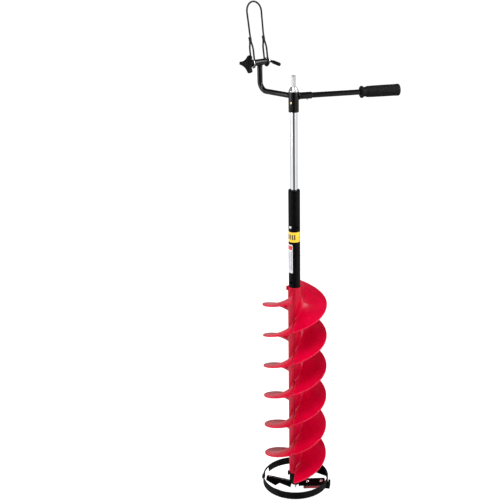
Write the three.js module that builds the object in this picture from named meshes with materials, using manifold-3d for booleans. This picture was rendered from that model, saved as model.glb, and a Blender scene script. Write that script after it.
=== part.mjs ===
// Ice fishing auger for a cordless drill, in millimetres, +Z up along the shaft.
// The origin is the flat at the centre point's tip. A telescoping shaft carries a turning handle with a
// side grip and a clamped wire hoop that steadies the drill, and below it a steel tube carries two
// moulded flight shells, a cutting head with two blades, and a storage guard around the blades.
import * as THREE from "three";
import { mergeVertices } from "three/addons/utils/BufferGeometryUtils.js";
import Module from "manifold-3d";

const wasm = await Module();
wasm.setup();

// ---- driving dimensions ----
const GAP = 0.3; // clearance between touching pieces
const ROUND = 24; // sides of a large round
const SMALL = 12; // sides of a small round

const TUBE = { radius: 18, wall: 2, bottom: 44, top: 1038.6 };
const ROD = { radius: 11, wall: 2, bottom: 912, top: 1336.6 };
const LOCK = { azimuth: -131, height: 926, stowed: 746, radius: 4.5 };
const LOCK_SPARE_AZIMUTH = -68;

const FLIGHT = { radius: 101.6, lead: 213.5, leaves: 6, topHeight: 670.5, rim: 6, root: 12 };
const CORE = { radius: 21, bottom: 65, top: 730, seamAzimuth: -95 };
const LEAF_STEPS = 12; // facets along a leaf
const LEAF_RINGS = 2; // and across it
const SEAM_INSET = 2.5; // half of the gap between two leaf ends
const SHELL_PINS = [100, 724]; // heights of the pins that hold the shells on the tube
const PIN_RADIUS = 3;

const SLEEVE = { radius: 15.3, bore: 13.5, bottom: 1277, top: 1336 };
const ARM = { radius: 8, wall: 1.6, height: 1323.3 };
const RIGHT_ARM = { azimuth: 18, start: 22, end: 330, socketRadius: 10, socketEnd: 55 };
const GRIP = { start: 209, end: 334, flange: 18, body: 15.8 };
const LEFT_ARM = { azimuth: 134, reach: 145, bend: 28, clampHeight: 1407 };
const CROSS = { halfLength: 23.8, radius: 9.5, bore: 4.4 };

const BOLT = { radius: 4, bend: 9, bendStart: 34, leg: 40, droop: 10, threadEnd: -58 };
const BOLT_SLEEVE = { radius: 5.4, start: 12, end: 43 };
const HOOP = { wire: 2.5, eyeHalf: 26.6, archHalf: 28.9, apex: 176.6, tilt: 8, strand: 7.6, turn: -5.4 };
const WASHER = { radius: 12.5, thickness: 2, inner: 29.4 };
const KNOB = { core: 12.5, lobe: 16, lobes: 3, boss: 11, near: -31.8, step: -43, far: -57, bore: 7.3 };

const SPINDLE = { acrossFlats: 12.7, top: 1383, plug: 8.7, plugBottom: 1290 };
const COLLAR = { radius: 14.6, neck: 8.7, bore: 7.7, bottom: 1338.4, shoulder: 1340, top: 1350 };

const HEAD = { radius: 20, bottom: 20, floor: 43.5, top: 64.5, boltHeight: 58 };
const HOLDER = { azimuth: -10, rise: 8.4, rake: 24, axisHeight: 22, start: 12, end: 98 };
const PLATE = { front: 15, back: 12, thickness: 4 };
const GUSSET = { thickness: 4, hub: 20, notchReach: 51, notch: 14, peakReach: 64, peak: 25, end: 14 };
const BLADE = { front: 28, back: 5, start: 28, end: 100, thickness: 2.4 };
const SCREW_REACHES = [40.5, 88.3];
const GUARD = { radius: 109, wall: 3.5, bottom: 26, top: 51, webStart: 14, webEnd: 100, notchHeight: 18 };
const LATCH = { width: 24, reach: 117, bottom: 14, top: 36 };

const rad = THREE.MathUtils.degToRad;
const QUARTER = Math.PI / 2;

// ---- materials ----
const finish = (color, roughness, metalness) => new THREE.MeshStandardMaterial({ color, roughness, metalness });
const redNylon = finish("#cf0a32", 0.45, 0);
const blackPaint = finish("#151516", 0.35, 0.1);
const blackPlastic = finish("#1b1b1c", 0.55, 0);
const blackRubber = finish("#1a1a1a", 0.85, 0);
const chrome = finish("#d5d8dc", 0.15, 1);
const steel = finish("#b9bcc0", 0.35, 1);
const brass = finish("#c9a03c", 0.3, 1);
const palePlastic = finish("#d9d4c4", 0.5, 0);

// ---- solid helpers ----
function solid(geometry) {
  const bare = geometry.clone();
  bare.deleteAttribute("normal");
  bare.deleteAttribute("uv");
  const merged = mergeVertices(bare, 1e-4);
  return new wasm.Manifold(
    new wasm.Mesh({
      numProp: 3,
      vertProperties: merged.attributes.position.array,
      triVerts: new Uint32Array(merged.index.array),
    }),
  );
}

function geometryOf(body) {
  const mesh = body.getMesh();
  const geometry = new THREE.BufferGeometry();
  geometry.setAttribute("position", new THREE.BufferAttribute(new Float32Array(mesh.vertProperties), 3));
  geometry.setIndex(new THREE.BufferAttribute(new Uint32Array(mesh.triVerts), 1));
  geometry.computeVertexNormals();
  return geometry;
}

const cut = (base, ...tools) => geometryOf(tools.reduce((body, tool) => body.subtract(solid(tool)), solid(base)));
const join = (base, ...others) => geometryOf(others.reduce((body, other) => body.add(solid(other)), solid(base)));

// A body turned about +Z. The outline holds [radius, height] corners, going up the outside.
function turned(outline, segments = ROUND) {
  const points = outline.map(([radius, height]) => new THREE.Vector2(radius, height));
  if (outline[0][0] > 0) points.push(points[0].clone());
  return new THREE.LatheGeometry(points, segments).rotateX(QUARTER);
}

const ring = (inner, outer, low, high, segments) =>
  turned([[outer, low], [outer, high], [inner, high], [inner, low]], segments);
const rod = (radius, low, high, segments) => turned([[0, low], [radius, low], [radius, high], [0, high]], segments);

// The same, lying along +X at a height, as seen in an arm's own group.
const alongX = (geometry, height = 0) => geometry.rotateY(QUARTER).translate(0, 0, height);
const pointingOut = (geometry, azimuth, height) => alongX(geometry, height).rotateZ(rad(azimuth));

function hexPrism(acrossFlats, low, high) {
  const corner = acrossFlats / 2 / Math.cos(Math.PI / 6);
  return new THREE.CylinderGeometry(corner, corner, high - low, 6).rotateX(QUARTER).translate(0, 0, (low + high) / 2);
}

function box(x0, x1, y0, y1, z0, z1) {
  return new THREE.BoxGeometry(x1 - x0, y1 - y0, z1 - z0).translate((x0 + x1) / 2, (y0 + y1) / 2, (z0 + z1) / 2);
}

// A round bar or tube swept along a curve.
function swept(curve, radius, steps, sides, bore = 0) {
  const section = new THREE.Shape().absarc(0, 0, radius, 0, 2 * Math.PI);
  if (bore > 0) section.holes.push(new THREE.Path().absarc(0, 0, bore, 0, 2 * Math.PI));
  return new THREE.ExtrudeGeometry(section, {
    extrudePath: curve,
    steps,
    curveSegments: sides / 2, // a full circle takes two sides for each
    bevelEnabled: false,
  });
}

// Points of the arc that rounds the corner between two straight runs.
function rounded(from, corner, to, radius, count) {
  const back = from.clone().sub(corner).normalize();
  const ahead = to.clone().sub(corner).normalize();
  const half = back.angleTo(ahead) / 2;
  const run = radius / Math.tan(half);
  const middle = corner.clone().add(back.clone().add(ahead).normalize().multiplyScalar(radius / Math.sin(half)));
  const start = corner.clone().addScaledVector(back, run).sub(middle);
  const end = corner.clone().addScaledVector(ahead, run).sub(middle);
  const sweep = start.angleTo(end);
  return Array.from({ length: count + 1 }, (_, i) => {
    const t = i / count;
    const a = Math.sin((1 - t) * sweep) / Math.sin(sweep);
    const b = Math.sin(t * sweep) / Math.sin(sweep);
    return middle.clone().addScaledVector(start, a).addScaledVector(end, b);
  });
}

function polyline(points) {
  const path = new THREE.CurvePath();
  for (let i = 1; i < points.length; i++) path.add(new THREE.LineCurve3(points[i - 1], points[i]));
  return path;
}

const auger = new THREE.Group();

function piece(name, geometry, material, parent = auger) {
  const mesh = new THREE.Mesh(geometry, material);
  mesh.name = name;
  parent.add(mesh);
  return mesh;
}

function turnedGroup(azimuth, parent = auger) {
  const group = new THREE.Group();
  group.rotation.z = rad(azimuth);
  parent.add(group);
  return group;
}

// ---- shaft: the telescoping rod, its spindle and what is fixed on it ----
function makeShaft() {
  const inner = ROD.radius - ROD.wall;
  const grooveLow = SLEEVE.bottom + 2;
  const grooveHigh = grooveLow + 1.6;
  const grooveRadius = ROD.radius - 0.8;
  const body = turned([
    [ROD.radius, ROD.bottom],
    [ROD.radius, grooveLow],
    [grooveRadius, grooveLow],
    [grooveRadius, grooveHigh],
    [ROD.radius, grooveHigh],
    [ROD.radius, ROD.top],
    [inner, ROD.top],
    [inner, ROD.bottom],
  ]);
  const lockHole = rod(LOCK.radius + GAP, 0, ROD.radius + 5, SMALL);
  piece("extension_rod", cut(body, pointingOut(lockHole, LOCK.azimuth, LOCK.height)), chrome);

  const ringLow = grooveLow + GAP;
  const ringGeometry = ring(grooveRadius + GAP, SLEEVE.bore - 0.5, ringLow, ringLow + 1, ROUND);
  piece("retaining_ring", ringGeometry, steel);

  const guide = ring(ROD.radius + GAP, TUBE.radius - TUBE.wall - GAP, ROD.bottom + 4, ROD.bottom + 34, ROUND);
  const guideHole = pointingOut(rod(LOCK.radius + GAP, 0, TUBE.radius, SMALL), LOCK.azimuth, LOCK.height);
  piece("rod_foot_guide", cut(guide, guideHole), blackPlastic);

  const capFlange = ROD.radius - 0.5;
  const cap = turned([
    [0, ROD.bottom - 3],
    [capFlange, ROD.bottom - 3],
    [capFlange, ROD.bottom - GAP],
    [inner - GAP, ROD.bottom - GAP],
    [inner - GAP, ROD.bottom + 5],
    [0, ROD.bottom + 5],
  ], SMALL);
  piece("rod_end_cap", cap, blackPlastic);

  const chamfer = 1;
  const hexCorner = SPINDLE.acrossFlats / 2 / Math.cos(Math.PI / 6);
  const hex = hexPrism(SPINDLE.acrossFlats, ROD.top - 1, SPINDLE.top);
  const chamferCone = turned([
    [0, ROD.top - 2],
    [hexCorner + 1, ROD.top - 2],
    [hexCorner + 1, SPINDLE.top - chamfer - 1],
    [hexCorner - chamfer, SPINDLE.top],
    [0, SPINDLE.top],
  ]);
  const shank = geometryOf(solid(hex).intersect(solid(chamferCone)));
  piece("drive_spindle", join(rod(SPINDLE.plug, SPINDLE.plugBottom, ROD.top, ROUND), shank), chrome);

  const washerLow = ROD.top + GAP;
  piece("thrust_washer", ring(COLLAR.bore, COLLAR.radius, washerLow, COLLAR.bottom - GAP, ROUND), steel);
  const collar = turned([
    [COLLAR.radius, COLLAR.bottom],
    [COLLAR.radius, COLLAR.shoulder],
    [COLLAR.neck, COLLAR.top],
    [COLLAR.bore, COLLAR.top],
    [COLLAR.bore, COLLAR.bottom],
  ]);
  piece("cone_collar", collar, chrome);
}

// ---- snap lock: a button on a bent leaf spring inside the rod's lower end ----
function makeSnapLock() {
  const side = turnedGroup(LOCK.azimuth);
  const button = turned([
    [0, 4],
    [LOCK.radius + 1, 4],
    [LOCK.radius + 1, 6],
    [LOCK.radius, 6],
    [LOCK.radius, TUBE.radius + 1],
    [LOCK.radius - 1.5, TUBE.radius + 2.5],
    [0, TUBE.radius + 2.5],
  ], SMALL);
  piece("snap_button", alongX(button, LOCK.height), chrome, side);

  const leaf = new THREE.Shape();
  const width = 6;
  const thickness = 1;
  const reach = 3.5;
  const top = LOCK.height + 24;
  leaf.moveTo(reach, LOCK.height - 6);
  leaf.lineTo(reach, LOCK.height + 8);
  leaf.lineTo(-2, top);
  leaf.lineTo(-reach - thickness, LOCK.height + 2);
  leaf.lineTo(-reach, LOCK.height + 2);
  leaf.lineTo(-2, top - 5);
  leaf.lineTo(reach - thickness, LOCK.height + 7);
  leaf.lineTo(reach - thickness, LOCK.height - 6);
  leaf.closePath();
  const spring = new THREE.ExtrudeGeometry(leaf, { depth: width, bevelEnabled: false });
  spring.translate(0, 0, -width / 2).rotateX(QUARTER);
  piece("snap_spring", spring, steel, side);
}

// ---- auger column: tube, bush, flight shells and pins ----
function makeColumn() {
  const inner = TUBE.radius - TUBE.wall;
  const hole = (radius, azimuth, height) => pointingOut(rod(radius, 0, TUBE.radius + 5, SMALL), azimuth, height);
  const across = (radius, height) => alongX(rod(radius, -TUBE.radius - 5, TUBE.radius + 5, SMALL), height);
  const tube = cut(
    ring(inner, TUBE.radius, TUBE.bottom, TUBE.top, ROUND),
    hole(LOCK.radius + GAP, LOCK.azimuth, LOCK.height),
    hole(LOCK.radius + GAP, LOCK.azimuth, LOCK.stowed),
    hole(LOCK.radius + GAP, LOCK_SPARE_AZIMUTH, LOCK.height),
    across(PIN_RADIUS + GAP, SHELL_PINS[0]),
    across(PIN_RADIUS + GAP, SHELL_PINS[1]),
    across(BOLT.radius + GAP, HEAD.boltHeight),
  );
  piece("lower_tube", tube, blackPaint);

  const bush = turned([
    [inner - GAP, TUBE.top - 24],
    [inner - GAP, TUBE.top + GAP],
    [TUBE.radius - 0.5, TUBE.top + GAP],
    [TUBE.radius - 0.5, TUBE.top + 3],
    [ROD.radius + GAP, TUBE.top + 3],
    [ROD.radius + GAP, TUBE.top - 24],
  ]);
  piece("tube_bush", bush, blackPlastic);

  const shell = flightShell();
  piece("flight_shell_right", shell, redNylon);
  piece("flight_shell_left", shell.clone(), redNylon).rotation.z = Math.PI;

  const pinHalf = [CORE.radius - 0.8, CORE.radius + 5];
  ["shell_pin_lower", "shell_pin_upper"].forEach((name, i) => {
    piece(name, alongX(rod(PIN_RADIUS, -pinHalf[i], pinHalf[i], SMALL), SHELL_PINS[i]), steel);
  });
}

// One leaf of the screw: a flat box bent onto the helical surface, thinner at its rim.
function leafGeometry(height) {
  const rootRadius = TUBE.radius + 2;
  const width = FLIGHT.radius - rootRadius;
  const leaf = new THREE.BoxGeometry(width, 2, 2, LEAF_RINGS, LEAF_STEPS, 1);
  const position = leaf.getAttribute("position");
  const middle = rad(CORE.seamAzimuth) + QUARTER;
  for (let i = 0; i < position.count; i++) {
    const radius = rootRadius + width / 2 + position.getX(i);
    const azimuth = middle + position.getY(i) * (QUARTER - SEAM_INSET / radius);
    const outward = (radius - rootRadius) / width;
    const half = (FLIGHT.root + (FLIGHT.rim - FLIGHT.root) * Math.sqrt(outward)) / 2;
    const rise = (FLIGHT.lead * azimuth) / (2 * Math.PI);
    position.setXYZ(
      i,
      radius * Math.cos(azimuth),
      radius * Math.sin(azimuth),
      height + rise + half * position.getZ(i),
    );
  }
  return leaf;
}

// Half of the moulded screw: half of the core with its leaves, split on the seam plane.
function flightShell() {
  const bore = TUBE.radius + GAP;
  const start = rad(CORE.seamAzimuth);
  const inset = (radius) => 0.2 / radius;
  const half = new THREE.Shape();
  half.absarc(0, 0, CORE.radius, start + inset(CORE.radius), start + Math.PI - inset(CORE.radius), false);
  half.absarc(0, 0, bore, start + Math.PI - inset(bore), start + inset(bore), true);
  half.closePath();
  const core = new THREE.ExtrudeGeometry(half, {
    depth: CORE.top - CORE.bottom,
    curveSegments: SMALL / 2,
    bevelEnabled: false,
  }).translate(0, 0, CORE.bottom);
  const leaves = Array.from({ length: FLIGHT.leaves }, (_, k) =>
    leafGeometry(FLIGHT.topHeight - (k * FLIGHT.lead) / 2),
  );
  const lug = box(CORE.radius - 2, CORE.radius + 5.5, -5, 5, CORE.top - 12, CORE.top);
  const pinHoles = SHELL_PINS.map((height) => alongX(rod(PIN_RADIUS + GAP, 5, 60, SMALL), height));
  return cut(join(core, ...leaves, lug), ...pinHoles);
}

// ---- cutting head: hub, two blade holders with blades, centre point and cross bolt ----
function makeHead() {
  const cup = turned([
    [0, HEAD.bottom],
    [HEAD.radius - 4, HEAD.bottom],
    [HEAD.radius, HEAD.bottom + 4],
    [HEAD.radius, HEAD.top],
    [TUBE.radius + GAP, HEAD.top],
    [TUBE.radius + GAP, HEAD.floor],
    [0, HEAD.floor],
  ]);
  const pointSocket = rod(5 + GAP, HEAD.bottom - 1, HEAD.floor - 5, SMALL);
  const boltHole = alongX(rod(BOLT.radius + GAP, -30, 30, SMALL), HEAD.boltHeight);
  const armSlots = [0, 180].map((turn) => holderSolid(GAP).rotateZ(rad(turn)));
  piece("head_hub", cut(cup, pointSocket, boltHole, ...armSlots), blackPaint);

  const tipRadius = 1.6;
  const point = turned([
    [0, 0],
    [tipRadius, 0],
    [5, 15],
    [5, HEAD.floor - 5.5],
    [0, HEAD.floor - 5.5],
  ], SMALL);
  piece("centre_point", point, steel);

  const headFace = HEAD.radius + GAP;
  const shank = rod(BOLT.radius - 0.3, -headFace - 1, headFace + 9, SMALL);
  const bolt = join(shank, hexPrism(12.7, -headFace - 6, -headFace));
  piece("head_cross_bolt", alongX(bolt, HEAD.boltHeight), blackPaint);
  const nutHole = rod(BOLT.radius, headFace - 1, headFace + 10, SMALL);
  const nut = cut(hexPrism(12.7, headFace, headFace + 6), nutHole);
  piece("head_cross_nut", alongX(nut, HEAD.boltHeight), blackPaint);

  ["right", "left"].forEach((side, i) => {
    const arm = turnedGroup(180 * i);
    piece("blade_holder_" + side, cut(holderSolid(0), ...screwTools()), blackPaint, arm);
    piece("blade_" + side, bladeSolid(), steel, arm);
    SCREW_REACHES.forEach((reach, k) => {
      const place = ["inner", "outer"][k];
      piece("blade_screw_" + side + "_" + place, inHolderFrame(bladeScrew().translate(reach, 0, 0)), chrome, arm);
    });
  });
}

// The holder's own frame: X along the arm, rising; Y against the cutting direction; Z out of its top face.
function inHolderFrame(geometry) {
  return geometry
    .rotateX(rad(HOLDER.rake))
    .rotateY(-rad(HOLDER.rise))
    .translate(0, 0, HOLDER.axisHeight)
    .rotateZ(rad(HOLDER.azimuth));
}

function holderSolid(grow) {
  const outline = new THREE.Shape();
  outline.moveTo(HOLDER.start - grow, -PLATE.front - grow);
  outline.lineTo(HOLDER.end - 6, -PLATE.front - grow);
  outline.lineTo(HOLDER.end + grow, -PLATE.front + 7);
  outline.lineTo(HOLDER.end + grow, PLATE.back + grow);
  outline.lineTo(HOLDER.start - grow, PLATE.back + grow);
  outline.closePath();
  const plate = new THREE.ExtrudeGeometry(outline, {
    depth: PLATE.thickness + 2 * grow,
    bevelEnabled: false,
  }).translate(0, 0, -PLATE.thickness - grow);
  const gusset = new THREE.Shape();
  gusset.moveTo(HOLDER.start - grow, -1);
  gusset.lineTo(HOLDER.start - grow, -GUSSET.hub - grow);
  gusset.lineTo(GUSSET.notchReach, -GUSSET.notch - grow);
  gusset.lineTo(GUSSET.peakReach, -GUSSET.peak - grow);
  gusset.lineTo(HOLDER.end + grow, -GUSSET.end - grow);
  gusset.lineTo(HOLDER.end + grow, -1);
  gusset.closePath();
  const rib = new THREE.ExtrudeGeometry(gusset, { depth: GUSSET.thickness + 2 * grow, bevelEnabled: false });
  rib.rotateX(QUARTER).translate(0, PLATE.back + grow, 0);
  return inHolderFrame(join(plate, rib));
}

const screwTools = () =>
  SCREW_REACHES.map((reach) => inHolderFrame(rod(2.5 + GAP, -12, 5, SMALL).translate(reach, 0, 0)));

function bladeScrew() {
  return turned([
    [0, -PLATE.thickness - BLADE.thickness - 1],
    [2.5, -PLATE.thickness - BLADE.thickness - 1],
    [2.5, GAP],
    [6, GAP],
    [6, 1.3],
    [4.6, 1.5],
    [3.4, 3.6],
    [0, 3.6],
  ], SMALL);
}

// A blade: straight at the back, with a curved and bevelled cutting edge in front.
function bladeSolid() {
  const bulge = 4;
  const under = -PLATE.thickness - GAP;
  const outline = new THREE.Shape();
  outline.moveTo(BLADE.start, BLADE.back - GAP);
  outline.lineTo(BLADE.start, -BLADE.front + bulge);
  const middle = (BLADE.start + BLADE.end) / 2;
  outline.quadraticCurveTo(middle, -BLADE.front - bulge, BLADE.end - 3, -BLADE.front + 8);
  outline.lineTo(BLADE.end, BLADE.back - GAP);
  outline.closePath();
  const blank = new THREE.ExtrudeGeometry(outline, {
    depth: BLADE.thickness,
    curveSegments: 8,
    bevelEnabled: false,
  }).translate(0, 0, under - BLADE.thickness);
  const grind = box(0, 120, -60, 0, -10, 0);
  grind.rotateX(-rad(25)).translate(0, -BLADE.front + 8, under - BLADE.thickness);
  const holes = SCREW_REACHES.map((reach) => rod(2.5 + GAP, -12, 5, SMALL).translate(reach, 0, 0));
  return inHolderFrame(cut(blank, grind, ...holes));
}

// ---- guard: a storage ring around the blades, with a hook, a latch and two inner webs ----
function makeGuard() {
  const inner = GUARD.radius - GUARD.wall;
  const band = ring(inner, GUARD.radius, GUARD.bottom, GUARD.top, 48);
  const web = new THREE.Shape();
  web.absarc(0, 0, inner + 1, rad(GUARD.webStart), rad(GUARD.webEnd), false);
  web.closePath();
  const notch = new THREE.Shape();
  notch.absarc(0, 0, GUARD.radius + 2, rad(HOLDER.azimuth - 22), rad(HOLDER.azimuth - 4), false);
  notch.absarc(0, 0, inner - 2, rad(HOLDER.azimuth - 4), rad(HOLDER.azimuth - 22), true);
  notch.closePath();
  const raised = (shape, low, depth, turn) =>
    new THREE.ExtrudeGeometry(shape, { depth, curveSegments: 8, bevelEnabled: false })
      .translate(0, 0, low)
      .rotateZ(rad(turn));
  const webs = [0, 180].map((turn) => raised(web, GUARD.bottom, 3, turn));
  const sideNotch = raised(notch, GUARD.bottom - 10, GUARD.notchHeight + 10, 180);
  const hook = box(GUARD.radius - 2, GUARD.radius + 5, -6, 6, GUARD.bottom, GUARD.bottom + 12);
  hook.rotateZ(rad(HOLDER.azimuth + 180));
  piece("guard_ring", join(cut(band, sideNotch), ...webs, hook), blackPlastic);

  const halfWidth = LATCH.width / 2;
  const foot = box(GUARD.radius - 6, LATCH.reach, -halfWidth, halfWidth, LATCH.bottom, LATCH.bottom + 4);
  const plate = box(GUARD.radius + 1.2, LATCH.reach, -halfWidth, halfWidth, LATCH.bottom, LATCH.top);
  const latch = join(plate, foot).rotateZ(rad(HOLDER.azimuth));
  piece("guard_latch", latch, blackPlastic);
}

// ---- handle: sleeve, bushes, both arms, grip and cross tube ----
function makeHandle() {
  const socket = alongX(rod(RIGHT_ARM.socketRadius, 10, RIGHT_ARM.socketEnd, 24), ARM.height);
  const socketBore = alongX(rod(ARM.radius + GAP, 20, RIGHT_ARM.socketEnd + 5, 24), ARM.height);
  const setScrewHole = rod(2.5 + GAP, ARM.height - 15, ARM.height, SMALL).translate(42, 0, 0);
  const rightTurn = rad(RIGHT_ARM.azimuth);
  const outer = rod(SLEEVE.radius, SLEEVE.bottom, SLEEVE.top, ROUND);
  const bore = rod(SLEEVE.bore, SLEEVE.bottom - 5, SLEEVE.top + 5, ROUND);
  const greaseHole = pointingOut(rod(2 + GAP, 5, 30, SMALL), -118, 1305);
  const sleeve = cut(
    join(outer, socket.rotateZ(rightTurn)),
    bore,
    socketBore.rotateZ(rightTurn),
    setScrewHole.rotateZ(rightTurn),
    greaseHole,
  );
  piece("hub_sleeve", sleeve, blackPaint);

  const bushRadii = [ROD.radius + GAP, SLEEVE.bore - GAP];
  piece("hub_bush_lower", ring(...bushRadii, SLEEVE.bottom + 4, SLEEVE.bottom + 24, ROUND), palePlastic);
  piece("hub_bush_upper", ring(...bushRadii, SLEEVE.bottom + 32, SLEEVE.top - GAP, ROUND), palePlastic);
  const greaseScrew = turned([
    [0, SLEEVE.bore],
    [2, SLEEVE.bore],
    [2, SLEEVE.radius + GAP],
    [3.2, SLEEVE.radius + GAP],
    [2.8, SLEEVE.radius + 1.9],
    [0, SLEEVE.radius + 1.9],
  ], SMALL);
  piece("grease_screw", pointingOut(greaseScrew, -118, 1305), brass);

  const right = turnedGroup(RIGHT_ARM.azimuth);
  const armTube = ring(ARM.radius - ARM.wall, ARM.radius, RIGHT_ARM.start, RIGHT_ARM.end, 24);
  piece("right_arm", alongX(armTube, ARM.height), blackPaint, right);
  const setScrew = rod(2.5, ARM.height - 13, ARM.height - ARM.radius - GAP, SMALL).translate(42, 0, 0);
  piece("arm_set_screw", setScrew, steel, right);
  const grip = turned([
    [ARM.radius + GAP, GRIP.start],
    [GRIP.flange, GRIP.start],
    [GRIP.flange, GRIP.start + 7],
    [GRIP.body, GRIP.start + 10],
    [GRIP.body + 0.8, GRIP.end - 12],
    [GRIP.flange, GRIP.end - 8],
    [GRIP.flange, GRIP.end - 2],
    [GRIP.flange - 2, GRIP.end],
    [0, GRIP.end],
    [0, RIGHT_ARM.end + GAP],
    [ARM.radius + GAP, RIGHT_ARM.end + GAP],
  ], 24);
  piece("hand_grip", alongX(grip, ARM.height), blackRubber, right);

  const left = turnedGroup(LEFT_ARM.azimuth);
  const start = new THREE.Vector3(8, 0, ARM.height);
  const corner = new THREE.Vector3(LEFT_ARM.reach, 0, ARM.height);
  const end = new THREE.Vector3(LEFT_ARM.reach, 0, LEFT_ARM.clampHeight);
  const bend = rounded(start, corner, end, LEFT_ARM.bend, 8);
  const armCurve = polyline([start, ...bend, end]);
  const crossTool = rod(CROSS.radius + GAP, -40, 40, ROUND);
  crossTool.rotateX(QUARTER).translate(LEFT_ARM.reach, 0, LEFT_ARM.clampHeight);
  const sleeveTool = rod(SLEEVE.radius + GAP, ARM.height - 20, ARM.height + 20, ROUND);
  const leftTube = cut(swept(armCurve, ARM.radius, 20, SMALL, ARM.radius - ARM.wall), crossTool, sleeveTool);
  piece("left_arm", leftTube, blackPaint, left);
}

// ---- drill clamp: cross tube, bolt, washers, hoop and knob, in the clamp's own frame ----
// X runs along the clamp bolt towards the back, Y away from the shaft, Z up.
function makeClamp() {
  const clamp = turnedGroup(LEFT_ARM.azimuth - 90);
  const centre = new THREE.Group();
  centre.position.set(0, LEFT_ARM.reach, LEFT_ARM.clampHeight);
  clamp.add(centre);

  const tube = ring(CROSS.bore, CROSS.radius, -CROSS.halfLength, CROSS.halfLength, 24);
  piece("cross_tube", alongX(tube), blackPaint, centre);

  const droop = rad(BOLT.droop);
  const legAway = new THREE.Vector3(0, -Math.cos(droop), -Math.sin(droop));
  const start = new THREE.Vector3(BOLT.threadEnd, 0, 0);
  const corner = new THREE.Vector3(BOLT.bendStart + BOLT.bend, 0, 0);
  const end = corner.clone().addScaledVector(legAway, BOLT.leg);
  const curve = polyline([start, ...rounded(start, corner, end, BOLT.bend, 5), end]);
  piece("clamp_bolt", swept(curve, BOLT.radius, 36, 8), steel, centre);

  const legSleeve = turned([
    [BOLT.radius + GAP, BOLT_SLEEVE.start],
    [BOLT_SLEEVE.radius, BOLT_SLEEVE.start],
    [BOLT_SLEEVE.radius, BOLT_SLEEVE.end - 2.5],
    [BOLT_SLEEVE.radius - 2, BOLT_SLEEVE.end],
    [0, BOLT_SLEEVE.end],
    [0, BOLT.leg + GAP],
    [BOLT.radius + GAP, BOLT.leg + GAP],
  ], SMALL);
  legSleeve.rotateX(QUARTER + droop).translate(corner.x, 0, 0);
  piece("bolt_leg_sleeve", legSleeve, blackRubber, centre);

  for (const [side, direction] of [["front", -1], ["back", 1]]) {
    const near = direction * WASHER.inner;
    const far = near + direction * WASHER.thickness;
    const washer = ring(BOLT.radius + GAP, WASHER.radius, Math.min(near, far), Math.max(near, far), 24);
    piece("clamp_washer_" + side, alongX(washer), steel, centre);
  }

  const tilted = new THREE.Group();
  tilted.rotation.x = -rad(HOOP.tilt);
  centre.add(tilted);
  piece("drill_hoop", swept(hoopCurve(), HOOP.wire, 92, 8), blackPaint, tilted);

  const star = new THREE.Shape();
  const starSteps = 48;
  for (let i = 0; i < starSteps; i++) {
    const angle = (2 * Math.PI * i) / starSteps;
    const lobe = Math.abs(Math.cos((KNOB.lobes / 2) * angle)) ** 3;
    const radius = KNOB.core + KNOB.lobe * lobe;
    star[i ? "lineTo" : "moveTo"](-radius * Math.sin(angle), radius * Math.cos(angle));
  }
  star.closePath();
  const lobes = new THREE.ExtrudeGeometry(star, { depth: KNOB.step - KNOB.far, bevelEnabled: false });
  lobes.translate(0, 0, KNOB.far);
  const boss = rod(KNOB.boss, KNOB.step - 1, KNOB.near, 24);
  const bore = rod(KNOB.bore, KNOB.far - 5, KNOB.near + 5, 24);
  piece("star_knob", alongX(cut(join(lobes, boss), bore)), blackPlastic, centre);
  const insert = ring(BOLT.radius + GAP, KNOB.bore - GAP, KNOB.far + 1, KNOB.near, SMALL);
  piece("knob_insert", alongX(insert), brass, centre);
}

// The hoop's wire, from one blunt end to the other: each leg ends in a slotted eye that runs on the bolt.
function hoopCurve() {
  const { eyeHalf, archHalf, strand, turn } = HOOP;
  const turnSteps = 6;
  const archSteps = 12;
  const leg = [[strand * 0.6, 70], [strand * 0.87, 60], [strand, 50]];
  for (let i = 0; i <= turnSteps; i++) {
    const angle = (Math.PI * i) / turnSteps;
    leg.push([strand * Math.cos(angle), turn - strand * Math.sin(angle)]);
  }
  leg.push([-strand, 48], [-strand * 0.72, 58], [-strand * 0.33, 66], [0, 78]);
  const near = leg.map(([y, z]) => new THREE.Vector3(-eyeHalf, y, z));
  const far = leg.map(([y, z]) => new THREE.Vector3(eyeHalf, y, z)).reverse();
  const archCentre = HOOP.apex - archHalf;
  const arch = Array.from({ length: archSteps + 1 }, (_, i) => {
    const angle = Math.PI * (1 - i / archSteps);
    return new THREE.Vector3(archHalf * Math.cos(angle), 0, archCentre + archHalf * Math.sin(angle));
  });
  return polyline([...near, ...arch, ...far]);
}

makeShaft();
makeSnapLock();
makeColumn();
makeHead();
makeGuard();
makeHandle();
makeClamp();

export default auger;
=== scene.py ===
import math

import bmesh
import bpy
from mathutils import Matrix, Vector


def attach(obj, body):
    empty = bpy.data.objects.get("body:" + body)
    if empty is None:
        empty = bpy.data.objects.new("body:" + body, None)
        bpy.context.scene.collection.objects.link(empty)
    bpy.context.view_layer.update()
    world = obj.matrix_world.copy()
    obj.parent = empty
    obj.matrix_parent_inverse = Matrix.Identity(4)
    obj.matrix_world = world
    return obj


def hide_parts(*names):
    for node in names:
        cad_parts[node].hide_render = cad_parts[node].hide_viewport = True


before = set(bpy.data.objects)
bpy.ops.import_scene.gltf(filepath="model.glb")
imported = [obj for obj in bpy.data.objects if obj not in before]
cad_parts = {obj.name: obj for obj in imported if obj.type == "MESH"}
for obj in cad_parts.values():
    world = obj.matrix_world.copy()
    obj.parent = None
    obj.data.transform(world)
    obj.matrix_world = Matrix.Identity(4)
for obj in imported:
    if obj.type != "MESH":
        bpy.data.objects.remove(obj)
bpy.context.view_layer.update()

# The object's lengths are in millimetres and its angles in degrees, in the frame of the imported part, and
# build() turns them into metres. The stage, the lights and the camera are in metres.
MM = 0.001
GAP = 0.3
TAU = 2 * math.pi
ON_AXIS = 1e-6

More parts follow.
